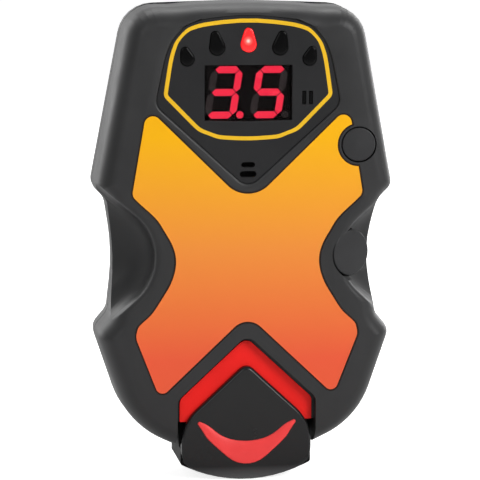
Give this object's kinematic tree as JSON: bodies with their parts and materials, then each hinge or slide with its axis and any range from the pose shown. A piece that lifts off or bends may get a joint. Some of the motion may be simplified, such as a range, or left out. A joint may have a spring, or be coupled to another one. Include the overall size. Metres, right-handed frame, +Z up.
{
  "type": "avalanche transceiver",
  "caption": "Hand-held avalanche transceiver with a lit red distance display, direction lights and a pull-out search slider, standing upright.",
  "frame": {"origin": "middle of the box that holds the model, at the height of its lowest point, which is the foot of the pulled-out slider", "axes": "+Z up the case to its top end, -Y out of the front face, +X to the right seen from the front"},
  "size_m": [0.0822, 0.028, 0.1314],
  "materials": {
    "shell_plastic": "satin, finely textured dark grey",
    "seal_rubber": "black sealing rubber",
    "screw_steel": "stainless steel",
    "label_print": "printed film, yellow-orange to red-orange",
    "bezel_film": "dark satin film",
    "border_print": "yellow printed line",
    "lens_clear": "smoked clear window",
    "module_black": "black display body",
    "digit_lit": "lit red segments",
    "digit_dark": "unlit segments",
    "light_lit": "lit red lens",
    "light_dark": "unlit dark lens",
    "emitter_white": "white emitter body",
    "brass_disc": "brass",
    "speaker_black": "black speaker can and cone",
    "button_plastic": "dark satin",
    "switch_plastic": "grey switch body",
    "red_print": "signal red",
    "slider_black": "black",
    "cap_black": "near black, satin",
    "grip_red": "soft red",
    "magnet_nickel": "nickel plated",
    "spring_steel": "spring steel",
    "sensor_glass": "glass body",
    "board_green": "green solder mask",
    "ferrite": "dark ferrite",
    "copper_wire": "enamelled copper wire",
    "cell_wrap": "plain printed wrap",
    "contact_nickel": "nickel plated spring steel"
  },
  "bodies": {
    "case": {"front_shell": "shell_plastic", "rear_shell": "shell_plastic", "shell_gasket": "seal_rubber", "case_screws": "screw_steel", "face_label": "label_print", "display_bezel": "bezel_film", "window_border": "border_print", "display_lens": "lens_clear", "display_module": "module_black", "lit_segments": "digit_lit", "dark_segments": "digit_dark", "centre_light": "light_lit", "side_lights": "light_dark", "indicator_bars": "light_dark", "light_emitters": "emitter_white", "speaker": "speaker_black", "speaker_seal": "seal_rubber", "mode_switch": "switch_plastic", "side_switch": "switch_plastic", "search_flag": "red_print", "detent_spring": "spring_steel", "slide_sensor": "sensor_glass", "circuit_board": "board_green", "cross_core": "ferrite", "cross_winding": "copper_wire", "long_core": "ferrite", "long_winding": "copper_wire", "depth_core": "ferrite", "depth_winding": "copper_wire", "battery_cells": "cell_wrap", "cell_contacts": "contact_nickel", "screw_insert": "brass_disc", "knob_ring": "seal_rubber", "power_switch": "switch_plastic", "leash_pin": "screw_steel"},
    "slider": {"slider_body": "slider_black", "slider_cap": "cap_black", "slider_grip": "grip_red", "slider_magnet": "magnet_nickel"},
    "mode_button": {"mode_button": "button_plastic"},
    "side_button": {"side_button": "button_plastic"},
    "power_knob": {"power_knob": "button_plastic"},
    "battery_door": {"battery_door": "shell_plastic", "door_seal": "seal_rubber"},
    "door_screw": {"door_screw": "screw_steel"}
  },
  "joints": [
    {"name": "search_slide", "type": "slide", "parent": "case", "child": "slider", "axis": [0, 0, 1], "range_m": [0, 0.0072]},
    {"name": "mode_press", "type": "slide", "parent": "case", "child": "mode_button", "axis": [0, 1, 0], "range_m": [0, 0.0008], "stiffness_N_per_m": 3500},
    {"name": "side_press", "type": "slide", "parent": "case", "child": "side_button", "axis": [-0.5, 0.866, 0], "range_m": [0, 0.001], "stiffness_N_per_m": 3000},
    {"name": "power_turn", "type": "hinge", "parent": "case", "child": "power_knob", "pos_m": [0, 0.0115, 0.1032], "axis": [0, 1, 0], "range_deg": [0, 90]},
    {"name": "door_lift", "type": "slide", "parent": "case", "child": "battery_door", "axis": [0, 1, 0], "range_m": [0, 0.02]},
    {"name": "screw_turn", "type": "hinge", "parent": "battery_door", "child": "door_screw", "pos_m": [0, 0.0115, 0.0837], "axis": [0, -1, 0], "range_deg": [0, 1080]}
  ]
}
